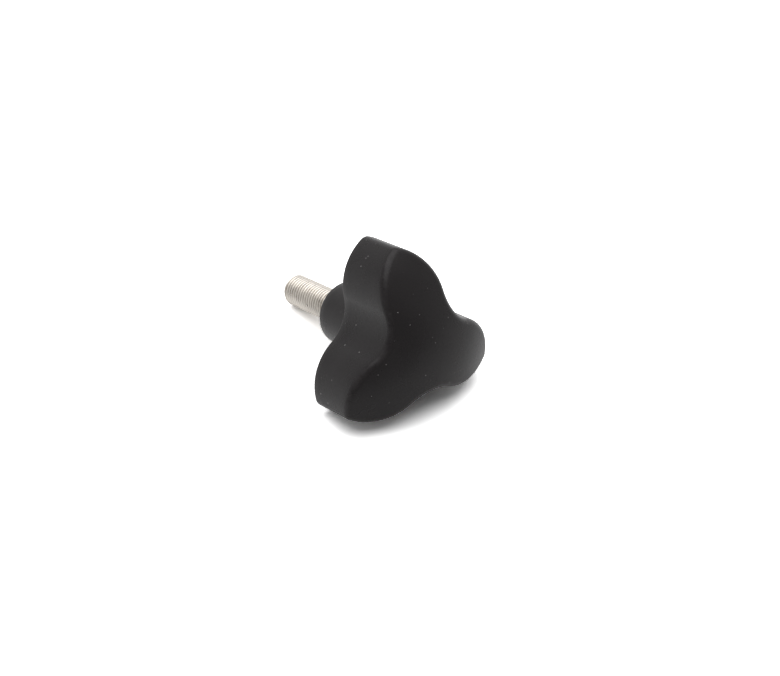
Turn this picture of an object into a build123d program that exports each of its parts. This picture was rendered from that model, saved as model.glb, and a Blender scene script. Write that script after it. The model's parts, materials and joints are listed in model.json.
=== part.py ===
from build123d import *
import math
import os

# A three-lobed clamping knob: one solid moulding of head and hub, with a steel stud moulded into it.
# Everything is built about the knob's own axis first: back face of the head at z = 0, crown towards +Z,
# hub and stud towards -Z, one lobe towards +Y. It is then laid down the way it comes to rest.

# Driving dimensions of the head, in millimetres and degrees
head_diameter = 60.0
head_height = 26.0
lobe_count = 3
lobe_tip_radius = 3.0
lobe_tip_half_angle = 25.5
lobe_flank_radius = 16.5
valley_radius = 13.0
dome_radius = 50.5
front_edge_radius = 2.5
back_edge_chamfer = 0.4

# Driving dimensions of the hub
hub_end_diameter = 20.0
hub_length = 18.0
hub_draft_angle = 1.5
hub_root_flare = 1.2
hub_end_chamfer = 0.4

# Driving dimensions of the steel stud and of the knurled collar that holds it in the moulding
stud_diameter = 10.0
stud_free_length = 29.0
stud_tip_chamfer = 0.9
shoulder_diameter = 11.0
collar_diameter = 14.0
collar_length = 12.0
collar_depth_below_hub_end = 4.0
collar_groove_width = 3.0
collar_groove_depth = 1.2
knurl_count = 24
knurl_depth = 0.6
knurl_groove_angle = 90.0

# Points of the lobe outline that several functions share, for a lobe that points along +X
half_pitch_angle = 180.0 / lobe_count
head_radius = head_diameter / 2


def polar(radius, angle):
    """The point at this distance and angle, in degrees, from the knob's axis."""
    return Vector(radius * math.cos(math.radians(angle)), radius * math.sin(math.radians(angle)))


def angle_of(vector):
    """The direction of a vector in the plane of the outline, in degrees."""
    return math.degrees(math.atan2(vector.Y, vector.X))


def flank_centre():
    """Centre of the broad arc on the +Y side of a lobe, which runs on from the tip arc without a kink."""
    tip_centre = Vector(head_radius - lobe_tip_radius, 0)
    return tip_centre + polar(lobe_tip_radius - lobe_flank_radius, lobe_tip_half_angle)


def valley_centre():
    """Centre of the hollow arc between two lobes, which touches the flank arcs on both sides."""
    flank = flank_centre()
    along = flank.dot(polar(1, half_pitch_angle))
    off_axis_squared = flank.dot(flank) - along**2
    reach = valley_radius + lobe_flank_radius
    return polar(along + math.sqrt(reach**2 - off_axis_squared), half_pitch_angle)


def lobe_outline():
    """The closed outline of the head: tip, flank and valley arcs, repeated round the axis."""
    flank = flank_centre()
    valley = valley_centre()
    flank_end_angle = angle_of(valley - flank)
    flank_sweep = flank_end_angle - lobe_tip_half_angle
    valley_sweep = 2 * (half_pitch_angle - flank_end_angle)
    tip = CenterArc((head_radius - lobe_tip_radius, 0), lobe_tip_radius,
                    -lobe_tip_half_angle, 2 * lobe_tip_half_angle)
    near_flank = CenterArc(flank, lobe_flank_radius, lobe_tip_half_angle, flank_sweep)
    hollow = CenterArc(valley, valley_radius, 180 + flank_end_angle, valley_sweep)
    far_flank = mirror(near_flank, Plane.XZ)
    one_pitch = [tip, near_flank, hollow, far_flank]
    turns = [Rot(0, 0, 90 + 2 * half_pitch_angle * number) for number in range(lobe_count)]
    return [turn * arc for turn in turns for arc in one_pitch]


def head_and_hub():
    """The moulding without the stud's hole: straight lobed wall, domed front, drafted hub behind."""
    wall = extrude(make_face(lobe_outline()), head_height)
    dome = Pos(0, 0, head_height - dome_radius) * Sphere(dome_radius)
    head = wall & dome
    head = fillet(front_rim(head), front_edge_radius)
    head = chamfer(head.faces().sort_by(Axis.Z)[0].edges(), back_edge_chamfer)
    return flare_hub_root(head + hub())


def front_rim(head):
    """The edges where the dome meets the lobed wall."""
    return max(head.faces(), key=lambda face: face.center().Z).edges()


def hub():
    """The hub, narrower at its free end so that it leaves its mould."""
    root_radius = hub_end_diameter / 2 + hub_length * math.tan(math.radians(hub_draft_angle))
    cone = Cone(hub_end_diameter / 2, root_radius, hub_length, align=(Align.CENTER, Align.CENTER, Align.MAX))
    return chamfer(cone.edges().sort_by(Axis.Z)[0], hub_end_chamfer)


def flare_hub_root(moulding):
    """Widens the hub where it grows out of the back of the head."""
    root = [edge for edge in moulding.edges().filter_by(GeomType.CIRCLE)
            if abs(edge.center().Z) < 1e-6 and edge.radius < head_radius / 2 and edge.is_closed]
    return chamfer(root, hub_root_flare)


def knurled_collar():
    """The collar inside the hub: straight knurling that stops turning, a groove that stops pulling out."""
    collar_end = collar_depth_below_hub_end - hub_length
    collar = Cylinder(collar_diameter / 2, collar_length, align=(Align.CENTER, Align.CENTER, Align.MIN))
    half_width = knurl_depth * math.tan(math.radians(knurl_groove_angle / 2))
    cut = Polygon((-knurl_depth, 0), (knurl_depth, 2 * half_width), (knurl_depth, -2 * half_width), align=None)
    cuts = PolarLocations(collar_diameter / 2, knurl_count)
    collar -= [place * extrude(cut, collar_length) for place in cuts]
    ring = Cylinder(collar_diameter / 2, collar_groove_width)
    ring -= Cylinder(collar_diameter / 2 - collar_groove_depth, collar_groove_width)
    collar -= Pos(0, 0, collar_length / 2) * ring
    return Pos(0, 0, collar_end) * collar


def threaded_stud():
    """The stud at its thread's outer diameter, in one piece with the shoulder and collar inside the hub."""
    thread = Cylinder(stud_diameter / 2, stud_free_length, align=(Align.CENTER, Align.CENTER, Align.MIN))
    thread = chamfer(thread.edges().sort_by(Axis.Z)[0], stud_tip_chamfer)
    shoulder = Cylinder(shoulder_diameter / 2, collar_depth_below_hub_end,
                        align=(Align.CENTER, Align.CENTER, Align.MIN))
    hub_end = Pos(0, 0, -hub_length)
    return hub_end * Pos(0, 0, -stud_free_length) * thread + hub_end * shoulder + knurled_collar()


def resting_angle():
    """Angle between the knob's axis and the surface it lies on, touched by two lobes and the stud's tip."""
    flank_reach = flank_centre().dot(polar(1, half_pitch_angle)) + lobe_flank_radius
    drop = flank_reach - stud_diameter / 2
    run = hub_length + stud_free_length - stud_tip_chamfer + back_edge_chamfer
    return math.degrees(math.atan2(drop, run))


def laid_down(pieces):
    """Turns the pieces to the resting pose and puts the middle of their footprint at the origin."""
    turned = [Rot(90 - resting_angle(), 0, 0) * piece for piece in pieces]
    box = Compound(turned).bounding_box()
    middle = box.center()
    return [Pos(-middle.X, -middle.Y, -box.min.Z) * piece for piece in turned]


stud = threaded_stud()
moulding = head_and_hub() - stud
laid_head, laid_stud = laid_down([moulding, stud])

os.makedirs("parts", exist_ok=True)
export_step(laid_head, "parts/lobed_head.step")
export_step(laid_stud, "parts/threaded_stud.step")
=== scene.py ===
import json
import math

import bmesh
import bpy
import numpy as np
from mathutils import Matrix, Vector


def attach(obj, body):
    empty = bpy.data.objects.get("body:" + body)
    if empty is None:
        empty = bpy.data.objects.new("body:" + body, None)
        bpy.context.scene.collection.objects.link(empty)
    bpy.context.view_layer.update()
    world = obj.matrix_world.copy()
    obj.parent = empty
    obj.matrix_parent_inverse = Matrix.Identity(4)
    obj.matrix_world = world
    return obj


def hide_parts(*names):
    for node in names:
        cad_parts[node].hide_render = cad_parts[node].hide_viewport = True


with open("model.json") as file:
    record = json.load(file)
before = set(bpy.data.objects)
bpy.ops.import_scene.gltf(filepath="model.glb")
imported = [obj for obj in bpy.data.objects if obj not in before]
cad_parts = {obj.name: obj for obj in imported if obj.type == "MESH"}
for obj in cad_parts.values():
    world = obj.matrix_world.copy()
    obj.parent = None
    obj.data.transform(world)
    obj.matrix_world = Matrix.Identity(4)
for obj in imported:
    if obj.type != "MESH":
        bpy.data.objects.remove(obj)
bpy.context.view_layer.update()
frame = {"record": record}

# A clamping knob that lies on a white floor: a black moulding with three lobes, and a steel stud.
# The knob's own frame has the axis along Z, the crown of the head towards +Z, the back face of the head at
# z = 0, hub and stud towards -Z and one lobe towards +Y. Sizes are millimetres until a mesh is made.
METRES_PER_MM = 0.001

# Head, at the sizes of the solids; its back edge is rounded here and chamfered there
HEAD_RADIUS = 30.0
HEAD_HEIGHT = 26.0
LOBES = 3
TIP_RADIUS = 3.0
TIP_HALF_ANGLE = math.radians(25.5)
FLANK_RADIUS = 16.5
VALLEY_RADIUS = 13.0
DOME_RADIUS = 50.5
FRONT_EDGE_RADIUS = 2.5
BACK_EDGE_RADIUS = 0.4

# Hub, at the sizes of the solids; its root and its end are rounded here and chamfered there
HUB_END_RADIUS = 10.0
HUB_LENGTH = 18.0
HUB_DRAFT = math.radians(1.5)
HUB_ROOT_RADIUS = 1.2
HUB_END_EDGE = 0.4

# Stud and its hidden collar, at the sizes of the solids
STUD_RADIUS = 5.0
STUD_FREE_LENGTH = 29.0
STUD_TIP_CHAMFER = 0.9
SHOULDER_RADIUS = 5.5
COLLAR_RADIUS = 7.0
COLLAR_LENGTH = 12.0
COLLAR_DEPTH = 4.0
COLLAR_GROOVE_WIDTH = 3.0
COLLAR_GROOVE_DEPTH = 1.2
KNURL_COUNT = 24
KNURL_DEPTH = 0.6

# Thread, which the solids leave out: its depth, half the flat of its crest and the width of its flank are
# shares of the pitch, and the rounding at the flank's ends is a share of the depth
THREAD_PITCH = 1.25
THREAD_DEPTH_SHARE = 0.6134
THREAD_DEPTH = THREAD_DEPTH_SHARE * THREAD_PITCH
CREST_HALF_SHARE = 1 / 16
FLANK_SHARE = 3 / 8
FLANK_ROUNDING = 0.045

# Mesh of the head: steps along half a lobe, then rings from the middle of the domed face to the hub's end.
# Shares are shares of the way from the first edge to the next, and margins are distances from an edge.
TIP_STEPS = 12
FLANK_STEPS = 26
VALLEY_STEPS = 14
DOME_RINGS = 26
DOME_FIRST_SHARE = 0.04
ROLL_RINGS = 9
WALL_RINGS = 9
BACK_EDGE_RINGS = 5
BACK_FACE_SHARES = (0.06, 0.25, 0.5, 0.75, 0.94, 1)
HUB_ROOT_RINGS = 7
HUB_WALL_RINGS = 7
HUB_EDGE_RINGS = 4
HUB_FACE_OUTER_MARGIN = 0.6
HUB_FACE_INNER_MARGIN = 0.4

# Mesh of the stud: columns round it, rows along one pitch of its thread
THREAD_COLUMNS = 96
THREAD_ROWS = 14

# Points of a mesh that lie nearer than this, in metres, become one
MERGE_DISTANCE = 1e-7

# Patterns are a scale per metre, a detail and a roughness; reliefs are a height in metres and a strength;
# bands are the stretch of a pattern's values over which a colour or a level goes from one end to the other
PLASTIC_CLOUDS = (90, 4, 0.5)
PLASTIC_DARK = (0.0085, 0.0066, 0.0071)
PLASTIC_LIGHT = (0.0125, 0.0100, 0.0107)
PLASTIC_COLOUR_BAND = (0.3, 0.75)
PLASTIC_SMOOTH = 0.23
PLASTIC_ROUGH = 0.34
PLASTIC_ROUGHNESS_BAND = (0.25, 0.8)
PLASTIC_WAVES = (45, 2, 0.5)
PLASTIC_WAVE_RELIEF = (0.0012, 0.12)
PLASTIC_GRAIN = (2600, 3, 0.6)
PLASTIC_GRAIN_RELIEF = (0.00012, 0.35)
PLASTIC_IOR = 1.5
PLASTIC_SPECULAR = 0.22

# Rubbed edges, lighter along the front and back edges as wear and as a painted rim highlight, and dust on
# the plastic
FRONT_EDGE_WEAR_AND_HIGHLIGHT = (0.021, 0.018, 0.019)
BACK_EDGE_WEAR_AND_HIGHLIGHT = (0.12, 0.11, 0.11)
EDGE_WEAR_AND_HIGHLIGHT_MIDDLE_BAND = (0.35, 0.95)
EDGE_WEAR_AND_HIGHLIGHT_PATCHES = (320, 5, 0.65)
EDGE_WEAR_AND_HIGHLIGHT_PATCH_BAND = (0.42, 0.62)
DUST_COLOUR = (0.50, 0.48, 0.48)
DUST_SCALE = 420
DUST_SPECK_BAND = (0.0, 0.1)
DUST_STRENGTH_BAND = (0.4, 0.95)

# Plated steel, at its full colour in a band below the thread's crests, with painted shade darkening it
# towards the root
STEEL_CLOUDS = (400, 4, 0.5)
STEEL_DULL = (0.66, 0.618, 0.566)
STEEL_BRIGHT = (0.82, 0.772, 0.71)
STEEL_COLOUR_BAND = (0.3, 0.7)
STEEL_SMOOTH = 0.24
STEEL_ROUGH = 0.38
STEEL_ROUGHNESS_BAND = (0.3, 0.75)
STEEL_PITS = (3000, 3, 0.5)
STEEL_PIT_RELIEF = (0.0001, 0.25)
THREAD_ROOT_SHADE = (0.32, 0.29, 0.255)
THREAD_CREST_BAND = 0.1

# Light: a soft lamp overhead, in a white room that is dimmer on one side for soft light and for reflections
KEY_AZIMUTH = 180
KEY_ELEVATION = 86
KEY_STRENGTH = 1.8
KEY_SPREAD = 75
SOFT_LIGHT = 0.6
SOFT_LIGHT_DIM = 0.04
SOFT_DIM_TOWARDS = (-0.3, -0.95, 0.1)
SOFT_DIM_FROM = 0.2
SOFT_DIM_FULL = 0.8
MIRROR_LIGHT = 0.95
MIRROR_LIGHT_DIM = 0.62
MIRROR_DIM_TOWARDS = (-0.63, -0.78, 0.0)
MIRROR_DIM_FROM = 0.15
MIRROR_DIM_FULL = 0.6

# Floor: its grey for the light it gives back, its white for the eye and for mirrors, with a painted dark
# zone towards the front seen only in reflections, and its size in metres
FLOOR_GREY = 0.8
FLOOR_TO_EYE = 2.2
FLOOR_TO_MIRRORS = 1.05
FLOOR_DIM_FROM = 0.05
FLOOR_DIM_FULL = 0.11
FLOOR_REACH = 3.0

# Camera, fitted to the photograph: angles in degrees, lens and sensor in millimetres, the rest in metres
CAMERA_AZIMUTH = -38.02
CAMERA_ELEVATION = 38.57
CAMERA_ROLL = 1.8
CAMERA_DISTANCE = 0.5537
CAMERA_LENS = 84.29
CAMERA_SENSOR = 36.0
CAMERA_TARGET = (0.00185, -0.01259, 0.01491)

# Sockets of a mix node's colour form, which share their names with those of its other forms
MIX_FACTOR = 0
MIX_FIRST = 6
MIX_SECOND = 7
MIX_RESULT = 2

# The world, and the thread's crests, take this colour as it is
WHITE = (1.0, 1.0, 1.0)


def unit(angle):
    """The direction at this angle in the plane of the lobes."""
    return np.array([math.cos(angle), math.sin(angle)])


def spokes_at(angles):
    """Unit directions at these angles, one row each."""
    return np.stack([np.cos(angles), np.sin(angles)], axis=1)


def spokes_of(points):
    """Unit directions from the axis to the points."""
    return points / np.linalg.norm(points, axis=1)[:, None]


def arc(centre, radius, start, end, steps):
    """Points along an arc and the directions from its centre, without the last point."""
    spokes = spokes_at(np.linspace(start, end, steps, endpoint=False))
    return centre + radius * spokes, spokes


def at_height(flat, height):
    """Lifts points of the plane to a height, one for all or one each."""
    return np.column_stack([flat, np.broadcast_to(height, len(flat))])


def lobe_outline():
    """The head's outline as points and outward normals, all round, starting at the lobe on +Y."""
    half_pitch = math.pi / LOBES
    tip = np.array([HEAD_RADIUS - TIP_RADIUS, 0.0])
    flank = tip + (TIP_RADIUS - FLANK_RADIUS) * unit(TIP_HALF_ANGLE)
    along_valley = flank @ unit(half_pitch)
    reach = VALLEY_RADIUS + FLANK_RADIUS
    valley = unit(half_pitch) * (along_valley + math.sqrt(reach**2 - flank @ flank + along_valley**2))
    to_valley = valley - flank
    flank_end = math.atan2(to_valley[1], to_valley[0])
    half = [
        arc(tip, TIP_RADIUS, 0, TIP_HALF_ANGLE, TIP_STEPS),
        arc(flank, FLANK_RADIUS, TIP_HALF_ANGLE, flank_end, FLANK_STEPS),
        arc(valley, -VALLEY_RADIUS, flank_end, half_pitch, VALLEY_STEPS),
    ]
    valley_middle = valley - VALLEY_RADIUS * unit(half_pitch)
    points = np.vstack([*(part[0] for part in half), valley_middle])
    normals = np.vstack([*(part[1] for part in half), unit(half_pitch)])
    return all_lobes(points), all_lobes(normals)


def all_lobes(half):
    """Half a lobe along +X, mirrored to a whole lobe and repeated round the axis from +Y on."""
    mirrored = half * (1, -1)
    lobe = np.vstack([mirrored[:0:-1], half[:-1]])
    turns = [math.pi / 2 + 2 * math.pi * number / LOBES for number in range(LOBES)]
    return np.concatenate([lobe @ np.array([unit(turn), unit(turn + math.pi / 2)]) for turn in turns])


def crown_rings(points, normals):
    """Rings from the middle of the domed face out to the wall, with the rolled front edge."""
    inset = points - FRONT_EDGE_RADIUS * normals
    ball_sphere = DOME_RADIUS - FRONT_EDGE_RADIUS
    dome_centre = HEAD_HEIGHT - DOME_RADIUS
    ball_height = np.sqrt(ball_sphere**2 - (inset**2).sum(axis=1))
    touch = inset * (DOME_RADIUS / ball_sphere)
    rings = []
    for share in np.linspace(DOME_FIRST_SHARE, 1, DOME_RINGS):
        flat = touch * share
        rings.append(at_height(flat, dome_centre + np.sqrt(DOME_RADIUS**2 - (flat**2).sum(axis=1))))
    sphere_normal = np.column_stack([inset, ball_height]) / ball_sphere
    wall_normal = at_height(normals, 0)
    middle = at_height(inset, dome_centre + ball_height)
    angle = np.arccos(np.clip((sphere_normal * wall_normal).sum(axis=1), -1, 1))[:, None]
    for share in np.linspace(0, 1, ROLL_RINGS + 1)[1:]:
        blend = np.sin((1 - share) * angle) * sphere_normal + np.sin(share * angle) * wall_normal
        rings.append(middle + FRONT_EDGE_RADIUS * blend / np.sin(angle))
    return rings


def wall_and_back_rings(points, normals, top_heights):
    """Rings down the lobed wall, round the back edge and in over the flat back."""
    rings = []
    for share in np.linspace(0, 1, WALL_RINGS + 1)[1:]:
        rings.append(at_height(points, top_heights + (BACK_EDGE_RADIUS - top_heights) * share))
    for angle in np.linspace(0, math.pi / 2, BACK_EDGE_RINGS + 1)[1:]:
        flat = points - BACK_EDGE_RADIUS * (1 - math.cos(angle)) * normals
        rings.append(at_height(flat, BACK_EDGE_RADIUS * (1 - math.sin(angle))))
    rim = points - BACK_EDGE_RADIUS * normals
    root = spokes_of(points) * (hub_radius(0) + HUB_ROOT_RADIUS)
    for share in BACK_FACE_SHARES:
        rings.append(at_height(rim + (root - rim) * share, 0))
    return rings


def hub_radius(depth):
    """Radius of the drafted hub at a depth behind the head's back face."""
    return HUB_END_RADIUS + (HUB_LENGTH - depth) * math.tan(HUB_DRAFT)


def hub_profile():
    """Radius and height along the hub, from its rounded root to the bottom of the stud's hole."""
    profile = []
    for angle in np.linspace(0, math.pi / 2, HUB_ROOT_RINGS + 1)[1:]:
        radius = hub_radius(0) + HUB_ROOT_RADIUS * (1 - math.sin(angle))
        profile.append((radius, -HUB_ROOT_RADIUS * (1 - math.cos(angle))))
    for depth in np.linspace(HUB_ROOT_RADIUS, HUB_LENGTH - HUB_END_EDGE, HUB_WALL_RINGS + 1)[1:]:
        profile.append((hub_radius(depth), -depth))
    for angle in np.linspace(0, math.pi / 2, HUB_EDGE_RINGS + 1)[1:]:
        radius = HUB_END_RADIUS - HUB_END_EDGE * (1 - math.cos(angle))
        profile.append((radius, HUB_END_EDGE * (1 - math.sin(angle)) - HUB_LENGTH))
    profile.append((HUB_END_RADIUS - HUB_FACE_OUTER_MARGIN, -HUB_LENGTH))
    profile.append((SHOULDER_RADIUS + HUB_FACE_INNER_MARGIN, -HUB_LENGTH))
    profile.append((SHOULDER_RADIUS, -HUB_LENGTH))
    profile.append((SHOULDER_RADIUS, COLLAR_DEPTH - HUB_LENGTH))
    return profile


def head_rings():
    """Every ring of the moulding, from the crown to the bottom of the stud's hole."""
    points, normals = lobe_outline()
    rings = crown_rings(points, normals)
    rings += wall_and_back_rings(points, normals, rings[-1][:, 2])
    spokes = spokes_of(points)
    rings += [at_height(spokes * radius, height) for radius, height in hub_profile()]
    return rings


def band_shares(rings, first, count):
    """How far each point of the skin lies in a band of rings: 1 along the band's middle and 0 off it."""
    shares = np.zeros(len(rings))
    shares[first:first + count] = np.sin(np.linspace(0, math.pi, count + 2)[1:-1])
    return np.concatenate([[0], np.repeat(shares, len(rings[0])), [0]])


def thread_radius(turns):
    """Radius of the thread where a point lies this many pitches along, measured from a crest."""
    off_crest = abs((turns + 0.5) % 1.0 - 0.5)
    down_flank = min(max((off_crest - CREST_HALF_SHARE) / FLANK_SHARE, 0.0), 1.0)
    rounded = down_flank - FLANK_ROUNDING * math.sin(2 * math.pi * down_flank)
    return STUD_RADIUS - THREAD_DEPTH * rounded


def stud_point(angle, height):
    """A point on the free length of the stud: thread, cut back at the tip's chamfer."""
    tip = -HUB_LENGTH - STUD_FREE_LENGTH
    turns = height / THREAD_PITCH - angle / (2 * math.pi)
    chamfered = STUD_RADIUS - STUD_TIP_CHAMFER + (height - tip)
    radius = min(thread_radius(turns), chamfered)
    return (radius * math.cos(angle), radius * math.sin(angle), height)


def thread_rings():
    """Rings that climb with the thread, so that its crests follow the mesh, flattened at both ends."""
    top = -HUB_LENGTH
    tip = top - STUD_FREE_LENGTH
    step = THREAD_PITCH / THREAD_ROWS
    rows = int(math.ceil((STUD_FREE_LENGTH + THREAD_PITCH) / step)) + 1
    rings = []
    for row in range(rows + 1):
        ring = []
        for column in range(THREAD_COLUMNS):
            angle = 2 * math.pi * column / THREAD_COLUMNS
            climb = THREAD_PITCH * column / THREAD_COLUMNS
            height = top - row * step + climb
            ring.append(stud_point(angle, min(max(height, tip), top)))
        rings.append(np.array(ring))
    return rings


def collar_rings():
    """Rings of the hidden knurled collar and shoulder, from the collar's inner end to the hub's end."""
    columns = np.arange(THREAD_COLUMNS)
    spokes = spokes_at(2 * math.pi * columns / THREAD_COLUMNS)
    in_knurl = columns % (THREAD_COLUMNS // KNURL_COUNT) == 0
    ribbed = np.where(in_knurl, COLLAR_RADIUS - KNURL_DEPTH, COLLAR_RADIUS)
    grooved = np.full(THREAD_COLUMNS, COLLAR_RADIUS - COLLAR_GROOVE_DEPTH)
    shoulder = np.full(THREAD_COLUMNS, SHOULDER_RADIUS)
    outer_end = COLLAR_DEPTH - HUB_LENGTH
    inner_end = outer_end + COLLAR_LENGTH
    groove_middle = outer_end + COLLAR_LENGTH / 2
    groove_top = groove_middle + COLLAR_GROOVE_WIDTH / 2
    groove_foot = groove_middle - COLLAR_GROOVE_WIDTH / 2
    steps = [
        (ribbed, inner_end),
        (ribbed, groove_top),
        (grooved, groove_top),
        (grooved, groove_foot),
        (ribbed, groove_foot),
        (ribbed, outer_end),
        (shoulder, outer_end),
        (shoulder, -HUB_LENGTH),
    ]
    return [at_height(spokes * radii[:, None], height) for radii, height in steps]


def ring_past_seam(number, level_rings):
    """The ring that a ring's last column runs on into: a pitch back once the rings climb with the thread."""
    if number < level_rings:
        return number
    return max(number - THREAD_ROWS, level_rings)


def skin(rings, level_rings):
    """Vertices and faces of a closed skin over rings of equal length, each end drawn to its middle."""
    count = len(rings[0])
    vertices = np.vstack([rings[0].mean(axis=0), *rings, rings[-1].mean(axis=0)])
    end = len(rings) - 1
    last = len(vertices) - 1
    foot = 1 + end * count
    faces = []
    for column in range(count):
        at_seam = column == count - 1
        beside = 0 if at_seam else column + 1
        faces.append((0, 1 + column, 1 + beside))
        for number in range(end):
            near = 1 + number * count
            far = near + count
            near_next, far_next = near, far
            if at_seam:
                near_next = 1 + ring_past_seam(number, level_rings) * count
                far_next = 1 + ring_past_seam(number + 1, level_rings) * count
            corners = [near + column, far + column, far_next + beside]
            if near_next != far_next:
                corners.append(near_next + beside)
            faces.append(corners)
        faces.append((foot + beside, foot + column, last))
    return vertices, faces


def knob_matrix():
    """From the knob's own frame, in metres, to the row frame, read from the stud's mount."""
    mount = next(mount for mount in frame["record"]["mounts"] if mount["name"] == "stud")
    towards_tip = Vector(mount["axis"]).normalized()
    middle_depth = HUB_LENGTH + STUD_FREE_LENGTH - STUD_TIP_CHAMFER - mount["dims"]["length_mm"] / 2
    crown = -towards_tip
    side = Vector((1, 0, 0))
    lobe = crown.cross(side)
    matrix = Matrix((side, lobe, crown)).transposed().to_4x4()
    matrix.translation = Vector(mount["pos_m"]) - towards_tip * middle_depth * METRES_PER_MM
    return matrix


def mesh_piece(name, vertices, faces, material, node, bands=()):
    """A smooth piece in the row frame that stands for a node of the solids, with its bands of wear and
    painted edge highlight.
    """
    place = knob_matrix()
    mesh = bpy.data.meshes.new(name)
    mesh.from_pydata([place @ Vector(vertex * METRES_PER_MM) for vertex in vertices], [], faces)
    for band, shares in bands:
        mesh.attributes.new(band, "FLOAT", "POINT").data.foreach_set("value", shares)
    clean = bmesh.new()
    clean.from_mesh(mesh)
    bmesh.ops.remove_doubles(clean, verts=clean.verts, dist=MERGE_DISTANCE)
    bmesh.ops.dissolve_degenerate(clean, edges=clean.edges, dist=MERGE_DISTANCE)
    clean.to_mesh(mesh)
    clean.free()
    mesh.materials.append(material)
    mesh.polygons.foreach_set("use_smooth", [True] * len(mesh.polygons))
    piece = bpy.data.objects.new(name, mesh)
    bpy.context.scene.collection.objects.link(piece)
    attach(piece, "root")
    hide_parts(node)


def new_material(name):
    """A new material with its node tree and its principled shader."""
    material = bpy.data.materials.new(name)
    material.use_nodes = True
    tree = material.node_tree
    return material, tree, node_of_kind(tree, "BSDF_PRINCIPLED")


def node_of_kind(tree, kind):
    """The first node of a kind in a tree."""
    return next(node for node in tree.nodes if node.type == kind)


def noise(tree, place, pattern):
    """A noise pattern over positions."""
    texture = tree.nodes.new("ShaderNodeTexNoise")
    for name, value in zip(("Scale", "Detail", "Roughness"), pattern):
        texture.inputs[name].default_value = value
    tree.links.new(place, texture.inputs["Vector"])
    return texture.outputs["Fac"]


def ramp(tree, source, band, first, last):
    """Goes from first to last, colours or grey levels, while the source crosses the band."""
    node = tree.nodes.new("ShaderNodeValToRGB")
    for element, position, level in zip(node.color_ramp.elements, band, (first, last)):
        element.position = position
        colour = level if isinstance(level, tuple) else (level, level, level)
        element.color = (*colour, 1)
    tree.links.new(source, node.inputs["Fac"])
    return node.outputs["Color"]


def mix(tree, kind, factor, first, second):
    """Mixes two colours; factor and colours are sockets or plain values."""
    node = tree.nodes.new("ShaderNodeMix")
    node.data_type = "RGBA"
    node.blend_type = kind
    for number, value in ((MIX_FACTOR, factor), (MIX_FIRST, first), (MIX_SECOND, second)):
        socket = node.inputs[number]
        if isinstance(value, bpy.types.NodeSocket):
            tree.links.new(value, socket)
        elif isinstance(value, tuple):
            socket.default_value = (*value, 1)
        else:
            socket.default_value = value
    return node.outputs[MIX_RESULT]


def combine(tree, operation, first, second):
    """Two values combined by one operation, such as MULTIPLY or MAXIMUM."""
    node = tree.nodes.new("ShaderNodeMath")
    node.operation = operation
    tree.links.new(first, node.inputs[0])
    tree.links.new(second, node.inputs[1])
    return node.outputs[0]


def vector_step(tree, operation, source, other=None):
    """The node that takes a vector through one operation, with a fixed second vector where it needs one."""
    node = tree.nodes.new("ShaderNodeVectorMath")
    node.operation = operation
    tree.links.new(source, node.inputs[0])
    if other is not None:
        node.inputs[1].default_value = other
    return node


def along(tree, source, direction):
    """How far a vector reaches in a direction."""
    return vector_step(tree, "DOT_PRODUCT", source, Vector(direction).normalized()).outputs["Value"]


def smooth_step(tree, source, start, end, low, high):
    """A value that goes smoothly from low to high as the source goes from start to end."""
    node = tree.nodes.new("ShaderNodeMapRange")
    node.interpolation_type = "SMOOTHSTEP"
    for name, value in (("From Min", start), ("From Max", end), ("To Min", low), ("To Max", high)):
        node.inputs[name].default_value = value
    tree.links.new(source, node.inputs["Value"])
    return node.outputs["Result"]


def bump(tree, height, relief, below=None):
    """A bump over a pattern, stacked on another where one is given."""
    node = tree.nodes.new("ShaderNodeBump")
    for name, value in zip(("Distance", "Strength"), relief):
        node.inputs[name].default_value = value
    tree.links.new(height, node.inputs["Height"])
    if below is not None:
        tree.links.new(below, node.inputs["Normal"])
    return node.outputs["Normal"]


def black_plastic():
    """Satin black moulded plastic with fine grain, rubbed edges lightened by wear and a painted rim
    highlight, and a little dust.
    """
    material, tree, shader = new_material("black_moulded_plastic")
    place = tree.nodes.new("ShaderNodeTexCoord").outputs["Object"]
    clouds = noise(tree, place, PLASTIC_CLOUDS)
    colour = ramp(tree, clouds, PLASTIC_COLOUR_BAND, PLASTIC_DARK, PLASTIC_LIGHT)
    # Lighter patches along the front and back edges: rubbed wear and a painted rim highlight.
    colour = mix(tree, "MIX", edge_wear_and_highlight(tree, place, "front_edge"), colour, FRONT_EDGE_WEAR_AND_HIGHLIGHT)
    colour = mix(tree, "MIX", edge_wear_and_highlight(tree, place, "back_edge"), colour, BACK_EDGE_WEAR_AND_HIGHLIGHT)
    colour = mix(tree, "MIX", dust(tree, place), colour, DUST_COLOUR)
    roughness = ramp(tree, clouds, PLASTIC_ROUGHNESS_BAND, PLASTIC_SMOOTH, PLASTIC_ROUGH)
    waves = bump(tree, noise(tree, place, PLASTIC_WAVES), PLASTIC_WAVE_RELIEF)
    grain = bump(tree, noise(tree, place, PLASTIC_GRAIN), PLASTIC_GRAIN_RELIEF, waves)
    tree.links.new(colour, shader.inputs["Base Color"])
    tree.links.new(roughness, shader.inputs["Roughness"])
    tree.links.new(grain, shader.inputs["Normal"])
    shader.inputs["IOR"].default_value = PLASTIC_IOR
    shader.inputs["Specular IOR Level"].default_value = PLASTIC_SPECULAR
    return material


def edge_wear_and_highlight(tree, place, band):
    """A broken mask along a band of the mesh, where handling dulls the plastic and a painted highlight
    lightens the edge.
    """
    rim = tree.nodes.new("ShaderNodeAttribute")
    rim.attribute_name = band
    middle = ramp(tree, rim.outputs["Fac"], EDGE_WEAR_AND_HIGHLIGHT_MIDDLE_BAND, 0.0, 1.0)
    patches = ramp(tree, noise(tree, place, EDGE_WEAR_AND_HIGHLIGHT_PATCHES), EDGE_WEAR_AND_HIGHLIGHT_PATCH_BAND, 0.0, 1.0)
    return combine(tree, "MULTIPLY", middle, patches)


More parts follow.
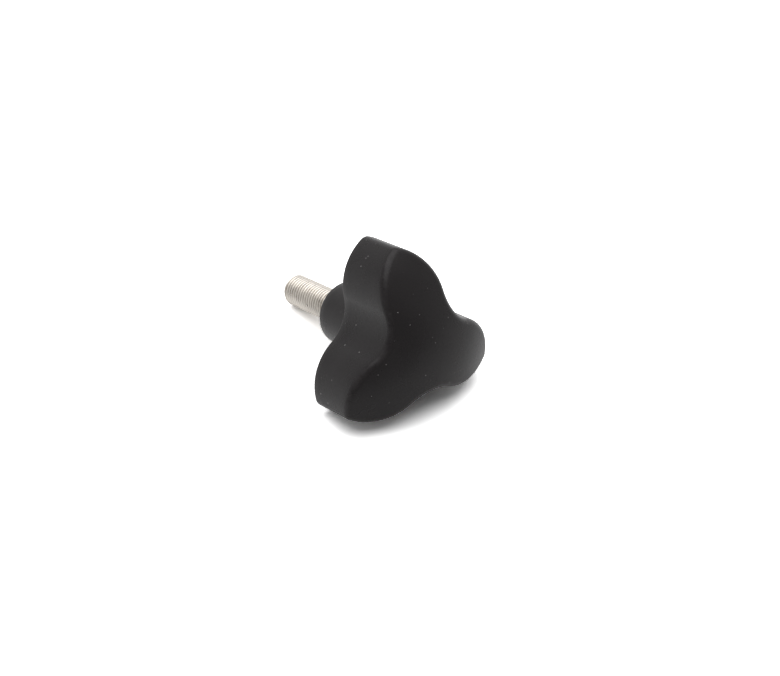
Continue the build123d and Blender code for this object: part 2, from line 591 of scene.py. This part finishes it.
def dust(tree, place):
    """A mask of sparse dust specks, each with a strength of its own."""
    cells = tree.nodes.new("ShaderNodeTexVoronoi")
    cells.inputs["Scale"].default_value = DUST_SCALE
    tree.links.new(place, cells.inputs["Vector"])
    specks = ramp(tree, cells.outputs["Distance"], DUST_SPECK_BAND, 1.0, 0.0)
    split = tree.nodes.new("ShaderNodeSeparateColor")
    tree.links.new(cells.outputs["Color"], split.inputs["Color"])
    strength = ramp(tree, split.outputs["Red"], DUST_STRENGTH_BAND, 0.0, 1.0)
    return combine(tree, "MULTIPLY", specks, strength)


def thread_steel():
    """Warm bright zinc on steel, with painted shade that darkens it towards the root of the thread."""
    material, tree, shader = new_material("zinc_plated_steel")
    place = tree.nodes.new("ShaderNodeTexCoord").outputs["Object"]
    clouds = noise(tree, place, STEEL_CLOUDS)
    plating = ramp(tree, clouds, STEEL_COLOUR_BAND, STEEL_DULL, STEEL_BRIGHT)
    # Painted shade: the colour darkens towards the root of the thread.
    shade = ramp(tree, height_in_thread(tree, place), (0.0, 1.0), THREAD_ROOT_SHADE, WHITE)
    roughness = ramp(tree, clouds, STEEL_ROUGHNESS_BAND, STEEL_SMOOTH, STEEL_ROUGH)
    pits = bump(tree, noise(tree, place, STEEL_PITS), STEEL_PIT_RELIEF)
    tree.links.new(mix(tree, "MULTIPLY", 1.0, plating, shade), shader.inputs["Base Color"])
    tree.links.new(roughness, shader.inputs["Roughness"])
    tree.links.new(pits, shader.inputs["Normal"])
    shader.inputs["Metallic"].default_value = 1.0
    return material


def height_in_thread(tree, place):
    """Zero at the root of the thread and one just below its crest, from the distance to the knob's axis."""
    matrix = knob_matrix()
    axis = matrix.to_3x3() @ Vector((0, 0, 1))
    from_axis = vector_step(tree, "SUBTRACT", place, matrix.translation)
    across = vector_step(tree, "CROSS_PRODUCT", from_axis.outputs["Vector"], axis)
    radius = vector_step(tree, "LENGTH", across.outputs["Vector"]).outputs["Value"]
    root = (STUD_RADIUS - THREAD_DEPTH) * METRES_PER_MM
    crest = (STUD_RADIUS - THREAD_CREST_BAND) * METRES_PER_MM
    return smooth_step(tree, radius, root, crest, 0, 1)


def mirror_rays(tree, path):
    """One for a ray that comes from a reflection or through glass, otherwise zero."""
    return combine(tree, "MAXIMUM", path.outputs["Is Glossy Ray"], path.outputs["Is Transmission Ray"])


def floor_material():
    """A white floor that keeps its shadow and is white to the eye; in reflections it is white, with a
    painted dark zone on the front side.
    """
    material, tree, shader = new_material("white_floor")
    tree.nodes.remove(shader)
    diffuse = tree.nodes.new("ShaderNodeBsdfDiffuse")
    path = tree.nodes.new("ShaderNodeLightPath")
    place = tree.nodes.new("ShaderNodeNewGeometry").outputs["Position"]
    # Painted dark zone: in reflections the floor darkens towards the front side.
    side = along(tree, place, MIRROR_DIM_TOWARDS)
    mirrored = smooth_step(tree, side, FLOOR_DIM_FROM, FLOOR_DIM_FULL, FLOOR_TO_MIRRORS, MIRROR_LIGHT_DIM)
    tone = mix(tree, "MIX", mirror_rays(tree, path), (FLOOR_GREY,) * 3, mirrored)
    tone = mix(tree, "MIX", path.outputs["Is Camera Ray"], tone, (FLOOR_TO_EYE,) * 3)
    tree.links.new(tone, diffuse.inputs["Color"])
    tree.links.new(diffuse.outputs["BSDF"], node_of_kind(tree, "OUTPUT_MATERIAL").inputs["Surface"])
    return material


def add_floor():
    """The white floor the knob lies on."""
    mesh = bpy.data.meshes.new("floor")
    corners = [(-1, -1), (1, -1), (1, 1), (-1, 1)]
    mesh.from_pydata([(x * FLOOR_REACH, y * FLOOR_REACH, 0) for x, y in corners], [], [(0, 1, 2, 3)])
    mesh.materials.append(floor_material())
    floor = bpy.data.objects.new("floor", mesh)
    bpy.context.scene.collection.objects.link(floor)


def add_world():
    """An even white room: white to the eye, nearly so in reflections, with plain soft light for the rest."""
    world = bpy.data.worlds.new("studio")
    bpy.context.scene.world = world
    world.use_nodes = True
    tree = world.node_tree
    back = node_of_kind(tree, "BACKGROUND")
    back.inputs["Color"].default_value = (*WHITE, 1)
    path = tree.nodes.new("ShaderNodeLightPath")
    towards = tree.nodes.new("ShaderNodeTexCoord").outputs["Generated"]
    side = along(tree, towards, SOFT_DIM_TOWARDS)
    soft = smooth_step(tree, side, SOFT_DIM_FROM, SOFT_DIM_FULL, SOFT_LIGHT, SOFT_LIGHT_DIM)
    side = along(tree, towards, MIRROR_DIM_TOWARDS)
    mirrored = smooth_step(tree, side, MIRROR_DIM_FROM, MIRROR_DIM_FULL, MIRROR_LIGHT, MIRROR_LIGHT_DIM)
    level = mix(tree, "MIX", mirror_rays(tree, path), soft, mirrored)
    level = mix(tree, "MIX", path.outputs["Is Camera Ray"], level, WHITE)
    tree.links.new(level, back.inputs["Strength"])


def direction_to(azimuth, elevation):
    """The direction in which a thing stands as seen from the knob, for angles in degrees."""
    around = math.radians(azimuth)
    up = math.radians(elevation)
    return Vector((math.sin(around) * math.cos(up), -math.cos(around) * math.cos(up), math.sin(up)))


def add_key_lamp():
    """A soft distant lamp, placed by where it stands as seen from the knob."""
    lamp = bpy.data.lights.new("key", "SUN")
    lamp.energy = KEY_STRENGTH
    lamp.angle = math.radians(KEY_SPREAD)
    key = bpy.data.objects.new("key", lamp)
    key.rotation_euler = direction_to(KEY_AZIMUTH, KEY_ELEVATION).to_track_quat("Z", "Y").to_euler()
    bpy.context.scene.collection.objects.link(key)


def add_camera():
    """The camera at the photograph's viewing angle."""
    data = bpy.data.cameras.new("camera")
    data.lens = CAMERA_LENS
    data.sensor_width = CAMERA_SENSOR
    data.sensor_fit = "HORIZONTAL"
    back = direction_to(CAMERA_AZIMUTH, CAMERA_ELEVATION)
    turn = back.to_track_quat("Z", "Y").to_matrix() @ Matrix.Rotation(math.radians(CAMERA_ROLL), 3, "Z")
    camera = bpy.data.objects.new("camera", data)
    camera.matrix_world = Matrix.Translation(Vector(CAMERA_TARGET) + back * CAMERA_DISTANCE) @ turn.to_4x4()
    bpy.context.scene.collection.objects.link(camera)
    bpy.context.scene.camera = camera


def add_head():
    """The black moulding of head and hub."""
    rings = head_rings()
    vertices, faces = skin(rings, len(rings))
    back_edge = DOME_RINGS + ROLL_RINGS + WALL_RINGS
    bands = [
        ("front_edge", band_shares(rings, DOME_RINGS, ROLL_RINGS)),
        ("back_edge", band_shares(rings, back_edge, BACK_EDGE_RINGS)),
    ]
    mesh_piece("moulded_head", vertices, faces, black_plastic(), "lobed_head", bands)


def add_stud():
    """The threaded stud with its hidden collar."""
    collar = collar_rings()
    vertices, faces = skin(collar + thread_rings(), len(collar))
    mesh_piece("steel_stud", vertices, faces, thread_steel(), "threaded_stud")


add_head()
add_stud()
add_floor()
add_world()
add_key_lamp()
add_camera()

bpy.context.scene.view_settings.view_transform = "Standard"
